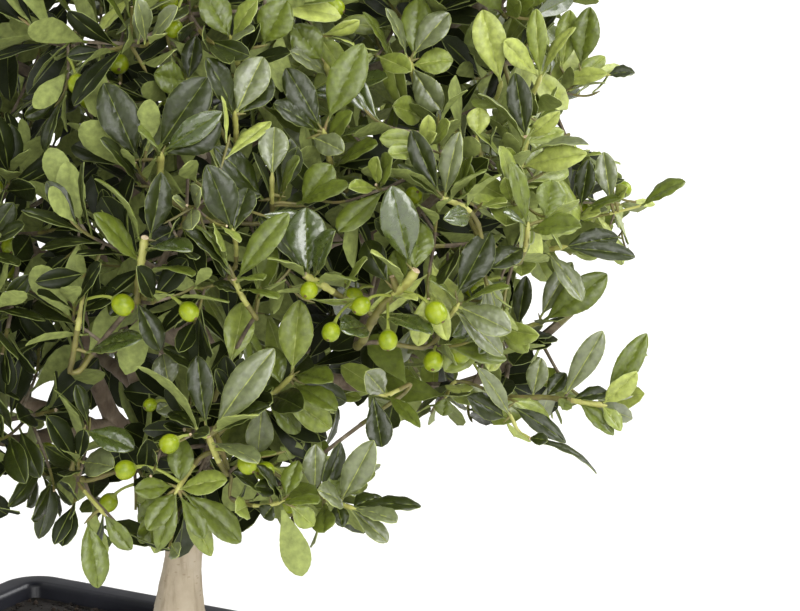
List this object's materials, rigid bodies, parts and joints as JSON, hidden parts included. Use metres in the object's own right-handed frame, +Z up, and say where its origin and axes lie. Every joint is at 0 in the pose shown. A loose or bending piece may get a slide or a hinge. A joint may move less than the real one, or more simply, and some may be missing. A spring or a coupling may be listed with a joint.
{
  "type": "japanese holly bonsai",
  "caption": "Small-leaved evergreen holly bonsai with a rounded crown on a short tapering trunk, standing in a glazed rectangular tray pot of soil.",
  "frame": {"origin": "middle of the pot's flat underside", "axes": "+X along the pot's long side, its front faces -Y, +Z up"},
  "size_m": [0.2692, 0.2498, 0.3153],
  "materials": {
    "glaze": "dark blue-black gloss glaze",
    "soil": "damp granular bonsai soil",
    "bark": "smooth pale grey-tan bark",
    "bough_bark": "smooth grey-brown bark",
    "foliage": "glossy dark green leaves with paler undersides, green twigs and unripe green berries"
  },
  "bodies": {
    "root": {"pot": "glaze", "soil": "soil", "trunk": "bark", "bough_low_front": "bough_bark", "bough_low_front_left": "bough_bark", "bough_low_left": "bough_bark", "bough_low_back_left": "bough_bark", "bough_low_back_right": "bough_bark", "bough_low_right": "bough_bark", "bough_mid_front": "bough_bark", "bough_mid_front_left": "bough_bark", "bough_mid_left": "bough_bark", "bough_mid_back_left": "bough_bark", "bough_mid_back": "bough_bark", "bough_mid_right": "bough_bark", "bough_mid_right_front": "bough_bark", "bough_high_front": "bough_bark", "bough_high_right": "bough_bark", "bough_high_back": "bough_bark", "bough_high_left": "bough_bark", "leaves_low_front": "foliage", "leaves_low_front_left": "foliage", "leaves_low_left": "foliage", "leaves_low_back_left": "foliage", "leaves_low_back_right": "foliage", "leaves_low_right": "foliage", "leaves_mid_front": "foliage", "leaves_mid_front_left": "foliage", "leaves_mid_left": "foliage", "leaves_mid_back_left": "foliage", "leaves_mid_back": "foliage", "leaves_mid_right": "foliage", "leaves_mid_right_front": "foliage", "leaves_high_front": "foliage", "leaves_high_right": "foliage", "leaves_high_back": "foliage", "leaves_high_left": "foliage", "leaves_top": "foliage"}
  },
  "joints": []
}
